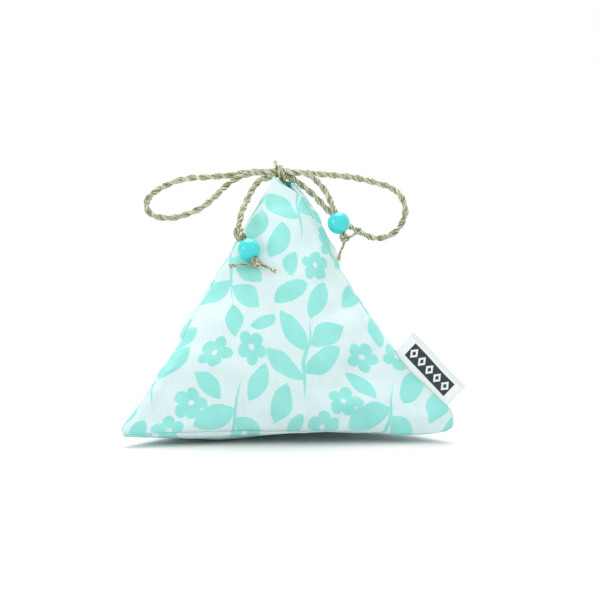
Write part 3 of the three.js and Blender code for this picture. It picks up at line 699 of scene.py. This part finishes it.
def bow_tails():
    for side, inner, route, place, heading, frays, seed, stop_room in TAILS:
        body = f"{side}_tail"
        knot_off = BEAD_HALF + 0.3
        end_at = knot_off + 1.7
        lead_at = knot_off + (stop_room + CORD / 2) * 0.55
        straight = [place + heading * d for d in (-lead_at, -knot_off, 0, knot_off, end_at)]
        tail, line = cord_piece(f"{side}_tail_strands", [*inner, *route, *straight], seed)
        dress(tail, "natural_cord", None, f"{side}_tail_cord")
        metres(BOW + route[0])
        metres(BOW + route[3])
        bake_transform(tail)
        world = place + BOW
        pieces = [bead_piece(side, world, heading)]
        if stop_room:
            above = world - heading * (knot_off + stop_room / 2)
            pieces.append(knot_piece(f"{side}_stop_knot", above, heading, seed + 1, body, STOP_KNOT))
        below = world + heading * end_at
        pieces.append(knot_piece(f"{side}_end_knot", below, heading, seed + 2, body, END_KNOT))
        pieces += [frayed_piece(side, i, fray, seed + 2 + i) for i, fray in enumerate(frays, 1)]
        BOW + route[0]


WRAP = [
    (0.5, -1.95, -10.6), (0.6, -2, -8), (0.9, -1.95, -5.4), (1.35, -1.9, -3.5), (1.35, -2.2, -2.1),
    (0.95, -2.35, -0.6), (0.5, -2.05, 0.9), (0.2, -1, 1.95), (0, 0.4, 2.1), (-0.1, 1.7, 1.3),
    (-0.1, 2.2, 0), (0, 1.7, -1.4), (0.2, 0.5, -2.15), (0.35, -0.9, -2.2), (0.15, -2.1, -1.7),
    (-0.3, -2.5, -0.4), (-0.85, -2.4, 0.9), (-1.4, -2.15, 2.3), (-1.75, -2, 3.4), (-2, -1.9, 4.2),
]


def bow_tie():
    """The wrap round the bow, the strands that it holds, and the knot that anchors it inside the tip."""
    wrap, _ = cord_piece("wrap_strands", WRAP, 41, phase=0.4, away=0.33, radius=0.42, lay=6.5)
    dress(wrap, "natural_cord", "bag", "cord_wrap")
    strands = Strands(42)
    for route in (
        [(-4.6, 1.0, 0.35), (-2.6, 0.65, 0.7), (0, 0.5, 0.75), (2.6, 0.65, 0.6), (4.6, 1.0, 0.1)],
        [(-4.6, -0.9, 0.3), (-2.6, -0.6, 0.35), (0, -0.5, 0.3), (2.6, -0.7, 0.1), (4.6, -1.1, -0.1)],
        [(-4.8, -0.7, -1.6), (-2.6, -0.5, -0.8), (0, -0.1, -0.7), (2.6, -0.9, -0.4), (4.6, -2.6, -0.1)],
    ):
        strands.twisted(curve_through(BOW + route), away=0.38, radius=0.48)
    dress(strands.piece("bow_knot_strands"), "natural_cord", "bag", "bow_knot")
    strands = Strands(43)
    middle = np.array([0, 0, ANCHOR_TOP - ANCHOR_HALF])
    line = knot_line(middle, np.array([0, 0, 1.0]), 1.15, 0.35, 1.3)
    strands.twisted(line, away=0.26, radius=0.36, lay=KNOT_LAY)
    core = curve_through([middle + [0, 0, 1.9], middle, middle - [0, 0, 1.9]])
    strands.twisted(core, away=0.3, radius=0.4)
    dress(strands.piece("anchor_knot_strands"), "natural_cord", "bag", "anchor_knot")


def corner_at(degrees):
    angle = math.radians(degrees + TURN)
    reach = EDGE / math.sqrt(3)
    return np.array([reach * math.cos(angle), reach * math.sin(angle), CORNER_LIFT])


CORNERS = {
    "top": np.array([0, 0, CORNER_LIFT + HEIGHT]),
    "left": corner_at(210),
    "right": corner_at(330),
    "back": corner_at(90),
}
# Seams: ends, how far drawn in, its sway in and its dip, each as places along it and sizes there.
SEAMS = [
    (("top", "left"), 0,
     ([0, 0.3, 0.42, 0.48, 0.53, 0.57, 0.61, 0.66, 0.71, 0.8, 1],
      [0, 0.3, 0.2, 0.4, 0.2, -0.4, 0.5, 1.0, 0.3, 0, 0]), None),
    (("top", "right"), 0,
     ([0, 0.1, 0.2, 0.3, 0.4, 0.5, 0.6, 0.7, 0.76, 0.82, 0.88, 0.94, 1],
      [0, -0.7, -0.5, 0.4, 1.6, 2.5, 2.5, 2.2, 1.5, -0.3, -2.2, -3.0, 0]), None),
    (("top", "back"), 3, None, None),
    (("left", "right"), 1, None,
     ([0, 0.2, 0.4, 0.56, 0.67, 0.78, 0.87, 0.93, 1], [0, -0.34, 0, 0.31, 0.51, 1.19, 1.7, 1.7, 0.6])),
    (("right", "back"), 3, None, None),
    (("left", "back"), 3, None, None),
]
DIP_POWER = 6
CURLS = {"left": (0.84, (-2.3, -0.8, 0.1)), "right": (0.86, (2.3, -1.0, 1.1))}
# How far inside a turned corner its rounding is centred, and its radius there.
TURNED_AT, TURNED_RADIUS = 4.4, 1.8


def seam_shape(table, along):
    """The table's value along a seam, with its corners rounded."""
    places = np.linspace(-0.2, 1.2, 561)
    sizes = np.interp(places, *table)
    weights = np.exp(-np.linspace(-2, 2, 25) ** 2)
    return np.interp(along, places[12:-12], np.convolve(sizes, weights / weights.sum(), "valid"))


class Panel:
    """One triangle of cloth. A point of it has a share of each of its three corners."""

    def __init__(self, corners, crown, fullness, mouth, pattern):
        self.names = corners
        a, b, c = self.corners = np.array([CORNERS[name] for name in corners])
        self.outward = unit(np.cross(b - a, c - a))
        self.crown, self.fullness, self.mouth, self.pattern = crown, fullness, mouth, pattern
        self.swell = None

    def surface(self, shares):
        points = shares @ self.corners
        share = dict(zip(self.names, shares.T))
        for (a, b), drawn_in, sway, dip in SEAMS:
            if a not in share and b not in share:
                continue
            s, t = (share.get(name, np.zeros(len(shares))) for name in (a, b))
            both = np.maximum(s + t, 1e-9)
            size = 4 * s * t * drawn_in
            if sway:
                size = size + both ** 2 * seam_shape(sway, t / both)
            if dip:
                points[:, 2] -= both ** DIP_POWER * seam_shape(dip, t / both)
            points = points + size[:, None] * unit(CENTRE - (CORNERS[a] + CORNERS[b]) / 2)
        for name, (start, by) in CURLS.items():
            if name in share:
                tip = CORNERS[name] + np.array(by)
                out = unit(tip - CENTRE)
                points = points + smooth(share[name], start, 1)[:, None] * np.array(by)
                away = points - (tip - TURNED_AT * out)
                near = smooth(away @ out / TURNED_AT, 0, 0.55) * (share[name] > 0.5)
                points = points + near[:, None] * (TURNED_RADIUS * unit(away) - away)
        full = np.maximum(0, 27 * shares.prod(axis=1)) ** self.fullness
        if "top" not in share:
            left, right, back = (share[name] for name in ("left", "right", "back"))
            sideways = smooth(right / np.maximum(left + right, 1e-4), 0.2, 0.68)
            behind = smooth(back - 0.14 * smooth(sideways, 0.9, 1), 0.12, 0.34)
            full = full * (1 - 0.9 * sideways * (1 - behind)) * (0.8 + 0.2 * smooth(back, 0, 0.16))
        points = points + self.crown * full[:, None] * self.outward
        points[:, 2] = np.maximum(points[:, 2], 0)
        return points

    def shares(self, down, across, inset):
        """Shares on a grid: down from 0 at the first corner or mouth to 1 at the far seam."""
        highest = 1 - 2 * inset
        if self.mouth:
            first, second, rise = self.mouth
            cut = (1 - across) * first + across * second - 4 * across * (1 - across) * rise
            highest = 1 - inset - TIP_SHARE * cut
        top = highest + (inset - highest) * down
        rest = 1 - top - 2 * inset
        return np.stack([top, inset + rest * (1 - across), inset + rest * across], axis=1)

    def flat(self, shares):
        """The place on the flat cut cloth, for the print and the weave."""
        u = shares[:, 2] * EDGE + shares[:, 0] * EDGE / 2
        v = shares[:, 0] * ALTITUDE
        angle, du, dv = self.pattern
        c, s = math.cos(math.radians(angle)), math.sin(math.radians(angle))
        return np.stack([u * c - v * s + du, u * s + v * c + dv, np.zeros(len(u))], axis=1)


def seam_wave(along, seed):
    """How far the gathers of a seam stand out, from -1 to 1."""
    return np.array([noise.noise(Vector((x / 6.5, seed * 3.7, 0.0))) * 1.3
                     + noise.noise(Vector((x / 2.9, seed * 9.1, 4.0))) * 0.45 for x in along])


def gathered(panel, shares, points):
    """Moves the smooth surface into puckers along its seams and slight lumps over the filling."""
    moved = np.zeros_like(points)
    for k in range(3):
        (a, i), (b, j) = sorted((n, i) for i, n in enumerate(panel.names) if i != k)
        seed = sorted(CORNERS).index(a) * 4 + sorted(CORNERS).index(b)
        both = np.maximum(shares[:, i] + shares[:, j], 1e-6)
        along = shares[:, j] / both * EDGE
        away = shares[:, k] * ALTITUDE
        fade = smooth(along, 2, 14) * smooth(EDGE - along, 2, 14)
        size = 0.42 * np.exp(-((away / 6.5) ** 2)) * seam_wave(along, seed) * fade
        edge_way = np.exp(-away / 2.5)[:, None]
        direction = unit(edge_way * unit(points - CENTRE) + (1 - edge_way) * panel.outward)
        moved += size[:, None] * direction
    share = dict(zip(panel.names, shares.T))
    if {"top", "right"} <= share.keys():
        t, r = share["top"], share["right"]
        along = r / np.maximum(t + r, 1e-6)
        away = (1 - t - r) * ALTITUDE
        # Near the tip the right seam rolls to the left, and the panel behind it stands out.
        rolled = -1.5 * np.exp(-((away / 5) ** 2))
        if "back" in share:
            over = 2.5 * (1 - np.exp(-((away / 1.7) ** 2))) * np.exp(-((away / 9) ** 2))
            rolled = (rolled + over * (1 - smooth(along, 0.15, 0.4))) * smooth(r * ALTITUDE, 0, 4)
        rolled *= 1 - smooth(along, 0.35, 0.65)
        moved += rolled[:, None] * unit(CORNERS["right"] - CORNERS["left"])
    inner = np.minimum(1, 27 * np.maximum(0, shares.prod(axis=1)) * 2.2)
    lumps = 0.55 * soft_noise(points, 21, 1) + 0.22 * soft_noise(points, 9, 2)
    moved += (lumps * inner)[:, None] * panel.outward
    made = points + moved + swelling(panel, shares)
    height = points[:, 2]
    made[:, 2] = np.where(height <= 0.02, height, np.maximum(made[:, 2], 0.02))
    return made


# Points closer than this are one.
WELD = 0.05
SWELL_ROWS, SWELL_CAP, SWELL_FRAMES = 38, 1.3, 20


def triangle_grid(first, last):
    """Rows of places across a triangle, how far down and across each is, and the faces between."""
    down, across, rows, faces = [], [], [], []
    for segments in range(first, last + 1):
        rows.append([len(down) + i for i in range(segments + 1)])
        down += [(segments - first) / (last - first)] * (segments + 1)
        across += [i / segments if segments else 0.5 for i in range(segments + 1)]
    for upper, lower in zip(rows, rows[1:]):
        for i, a in enumerate(upper):
            faces.append((a, lower[i], lower[i + 1]))
            if i + 1 < len(upper):
                faces.append((a, lower[i + 1], a + 1))
    return np.array(down), np.array(across), rows, faces


def share_grid(rows):
    """Shares of a triangle's corners on a grid, and its faces."""
    down, across, _, faces = triangle_grid(0, rows)
    return np.stack([1 - down, down * (1 - across), down * across], axis=1), faces


def swell_cover(panels):
    """Lets cloth simulation press the closed cover out from inside, and keeps each place's move."""
    shares, grid_faces = share_grid(SWELL_ROWS)
    places, points, faces, lookup, held = {}, [], [], {}, []
    for side, panel in panels.items():
        surface = panel.surface(shares)
        own = []
        for point, share in zip(surface, shares):
            key = tuple(np.round(point / WELD).astype(int))
            if key not in lookup:
                lookup[key] = len(points)
                points.append(point)
            own.append(lookup[key])
            if side == "base" or share.min() < 1e-6 or share[0] > 0.8:
                held.append(own[-1])
        places[side] = np.array(own)
        faces += [[own[i] for i in face] for face in grid_faces]
    faces = [face for face in faces if len(set(face)) == 3]
    cover = mesh_piece("swelling_cover", np.array(points), faces)
    cover.vertex_groups.new(name="held").add(sorted(set(held)), 1.0, "REPLACE")
    cloth = cover.modifiers.new("swelling", "CLOTH")
    for key, value in dict(
        quality=6, mass=0.15, tension_stiffness=12, compression_stiffness=12, shear_stiffness=6,
        bending_stiffness=0.05, vertex_group_mass="held", use_pressure=True,
        uniform_pressure_force=4, shrink_min=-0.045,
    ).items():
        setattr(cloth.settings, key, value)
    cloth.settings.effector_weights.gravity = 0
    cloth.point_cache.frame_start, cloth.point_cache.frame_end = 1, SWELL_FRAMES
    scene = bpy.context.scene
    for frame_number in range(1, SWELL_FRAMES + 1):
        scene.frame_set(frame_number)
    shaped = cover.evaluated_get(bpy.context.evaluated_depsgraph_get())
    moved = np.array([vertex.co for vertex in shaped.data.vertices]) / MM - np.array(points)
    mesh = cover.data
    bpy.data.objects.remove(cover)
    bpy.data.meshes.remove(mesh)
    scene.frame_set(1)
    size = np.linalg.norm(moved, axis=1, keepdims=True)
    moved *= np.minimum(1, SWELL_CAP / np.maximum(size, 1e-9))
    for side, panel in panels.items():
        panel.swell = (shares, moved[places[side]])


def swelling(panel, shares):
    """The simulated move at any shares, smoothed over about one row."""
    if panel.swell is None:
        return 0
    coarse, moved = panel.swell
    near = np.zeros((len(shares), 3))
    for start in range(0, len(shares), 500):
        part = shares[start:start + 500]
        apart = ((part[:, None, :] - coarse[None]) ** 2).sum(axis=2) * SWELL_ROWS ** 2 / 2
        weights = np.exp(-apart / (2 * 0.62 ** 2))
        near[start:start + 500] = weights @ moved / weights.sum(axis=1, keepdims=True)
    return near * smooth(shares.min(axis=1) * ALTITUDE, 0.9, 4.5)[:, None]


def open_seam(panel, shares):
    """1 along the upper part of the right seam, where the photo shows a deep crease."""
    share = dict(zip(panel.names, shares.T))
    if not {"top", "right"} <= share.keys():
        return 0
    top, right = share["top"], share["right"]
    return (top + right > 1 - 1e-6) * smooth(top, 0.5, 0.7) * (1 - smooth(top, 0.86, 0.92))


PANEL_ROWS, FILLING_ROWS = 104, 44
EDGE_ROUND, FLAP = 0.75, 4.2


def cloth_piece(side, panel):
    first = round(PANEL_ROWS * TIP_SHARE) if panel.mouth else 0
    down, across, rows, faces = triangle_grid(first, PANEL_ROWS)
    border = rows[0] + [row[-1] for row in rows[1:]] + rows[-1][-2::-1] + [row[0] for row in rows[-2:0:-1]]
    grid = panel.shares(down, across, EDGE_ROUND / ALTITUDE)
    rim = panel.shares(down, across, 0)[border]
    body, edge = (gathered(panel, shares, panel.surface(shares)) for shares in (grid, rim))
    inner = body[border]
    inward = unit(CENTRE - edge)
    back = unit(inner - edge)
    apart = 0.03 + 0.45 * label_room(edge) + 0.05 * open_seam(panel, rim)
    edge = edge + back * apart[:, None]
    deep = edge + inward * EDGE_ROUND
    rings = [(1 - s) ** 2 * inner + 2 * s * (1 - s) * edge + s * s * deep
             for s in (0.2, 0.4, 0.6, 0.8, 1.0)]
    rings.append(edge + inward * FLAP + back * 0.1)
    for ring in rings:
        ring[:, 2] = np.maximum(ring[:, 2], 0.0)
    flats = [panel.flat(grid)] + [panel.flat(rim)] * len(rings)
    loops = len(body) + np.arange(len(rings) * len(border)).reshape(len(rings), -1)
    faces += quads([border, *loops])
    piece = mesh_piece(f"{side}_cloth", np.vstack([body, *rings]), faces, {"cloth": np.vstack(flats)})
    thicken(piece, CLOTH)
    return dress(piece, "printed_canvas", "bag", f"{side}_panel")


# The label's seam: out of it, across it, along it, and its middle.
LABEL_OUT = np.array([0.62427, -0.28765, 0.72632])
LABEL_ACROSS = np.array([-0.4166, -0.90909, -0.00197])
LABEL_ALONG = np.array([0.66086, -0.30136, -0.68735])
LABEL_PLACE = np.array([48.645, -22.341, 22.245]) + 0.4 * LABEL_ALONG
LABEL_WIDTH, LABEL_REACH, LABEL_HELD = 26.0, 9.6, 5.4


def label_room(points):
    """1 where the label comes out between two panels."""
    away = points - (LABEL_PLACE - LABEL_OUT * 0.7)
    along = np.abs(away @ LABEL_ALONG)
    beside = np.linalg.norm(away - np.outer(away @ LABEL_ALONG, LABEL_ALONG), axis=1)
    return (1 - smooth(along, 12.6, 14.5)) * (1 - smooth(beside, 2.5, 5))


def bag_panels():
    slack = Panel(["left", "back", "right"], 0, BASE_FULLNESS, None, (0, 0, 0))
    base_crown = slack.surface(np.array([[1 / 3, 1 / 3, 1 / 3]]))[0, 2] + 1
    return {
        "front": Panel(["top", "left", "right"], *SIDE_SWELL, (0.6, 1.62, 0.2), (0, 0, 0)),
        "right": Panel(["top", "right", "back"], *SIDE_SWELL, (1.0, 0.82, 0), (0, 19, 37)),
        "left": Panel(["top", "back", "left"], *SIDE_SWELL, (0.82, 0.64, 0), (0, 41, 11)),
        "base": Panel(["left", "back", "right"], base_crown, BASE_FULLNESS, None, (0, 7, 23)),
    }


def bag():
    panels = bag_panels()
    swell_cover(panels)
    cloths = [cloth_piece(side, panel) for side, panel in panels.items()]
    stuffing(panels)


def stuffing(panels):
    points, faces = [], []
    shares, grid_faces = share_grid(FILLING_ROWS)
    full = np.maximum(0, 27 * shares.prod(axis=1))
    inwards = (0.145 * (1 - full) + 0.035 * full)[:, None]
    for k, panel in enumerate(panels.values()):
        at = panel.surface(shares)
        at = at + (CENTRE - at) * inwards
        at[:, 2] = np.minimum(at[:, 2], ANCHOR_TOP - 2 * ANCHOR_HALF - 0.6)
        points.append(at)
        faces += [[i + k * len(shares) for i in face] for face in grid_faces]
    points = np.vstack(points)
    grains = 0.35 * soft_noise(points, 2.3, 5) + 0.4 * soft_noise(points, 6, 6)
    points = points + unit(points - CENTRE) * (grains - 0.4)[:, None]
    piece = mesh_piece("dried_flowers", points, faces)
    weld(piece)
    dress(piece, "dried_filling", "bag", "scented_filling")


def weld(piece):
    """Joins the panels' borders, which meet point for point."""
    shape = bmesh.new()
    shape.from_mesh(piece.data)
    bmesh.ops.remove_doubles(shape, verts=shape.verts, dist=WELD * MM)
    shape.to_mesh(piece.data)
    shape.free()


def label():
    """A ribbon folded once, its two ends held in the seam."""
    width, out, columns, half = LABEL_WIDTH, LABEL_REACH, 52, 0.42
    section = [(o, half * smooth(o, -1.2, 2.5) * (1 - 0.25 * smooth(o, 5, 9)) + 0.13, o)
               for o in np.linspace(-2.4, out - half, 22)]
    for i in range(1, 8):
        angle = math.pi / 2 - math.pi * i / 8
        section.append((out - half + half * math.cos(angle), (half * 0.75 + 0.13) * math.sin(angle), out))
    section += [(o, -across, v) for o, across, v in section[21::-1]]
    points, ribbon = [], []
    for j in range(columns + 1):
        a = -width / 2 + width * j / columns
        for k, (o, across, v) in enumerate(section):
            outer = smooth(o, 0, out)
            wave = 0.35 * outer * math.sin(a / 5.2 + 0.6) + 0.25 * outer * math.sin(a / 2.6)
            lean = 0.25 * outer * outer
            points.append(LABEL_PLACE + LABEL_ALONG * a + LABEL_OUT * (o - 0.05 * outer * abs(a) / 13)
                          + LABEL_ACROSS * (across + wave + lean))
            ribbon.append((a, v, 0.0 if k < len(section) / 2 else 50.0))
    n = len(section)
    faces = [(a, a + n, a + n + 1, a + 1) for j in range(columns) for a in range(j * n, j * n + n - 1)]
    piece = mesh_piece("folded_label", points, faces, {"ribbon": ribbon})
    thicken(piece, RIBBON)
    dress(piece, "woven_ribbon", None, "side_label")
    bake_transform(piece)


def floor():
    far = 4000
    corners = [(-far, -far, 0), (far, -far, 0), (far, far, 0), (-far, far, 0)]
    piece = mesh_piece("floor", corners, [(0, 1, 2, 3)], smooth_faces=False)
    piece.data.materials.append(plain_floor())


def lamp(name, kind, place, aim, size, power):
    """Size is a sun's angle, or the side of an area lamp."""
    data = bpy.data.lights.new(name, kind)
    setattr(data, "angle" if kind == "SUN" else "size", size)
    data.energy = power
    made = bpy.data.objects.new(name, data)
    made.location = place
    made.rotation_euler = (Vector(aim) - Vector(place)).to_track_quat("-Z", "Y").to_euler()
    bpy.context.scene.collection.objects.link(made)


def studio():
    world = bpy.data.worlds.new("white_room")
    bpy.context.scene.world = world
    world.use_nodes = True
    back = world.node_tree.nodes["Background"]
    back.inputs["Color"].default_value = (1, 1, 1, 1)
    back.inputs["Strength"].default_value = 1
    lamp("high_lamp", "SUN", (-0.04, 0.36, 0.93), (0, 0, 0), math.radians(50), 1.9)
    lamp("left_lamp", "AREA", (-0.47, -0.3, 0.24), (0, 0, 0.07), 0.18, 0.38)
    lamp("right_lamp", "AREA", (0.4, -0.3, 0.42), (0, 0, 0.07), 0.07, 0.12)
    bpy.context.scene.view_settings.view_transform = "Standard"
    floor()


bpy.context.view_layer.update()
bow_loops()
bow_tails()
bow_tie()
bag()
label()
studio()
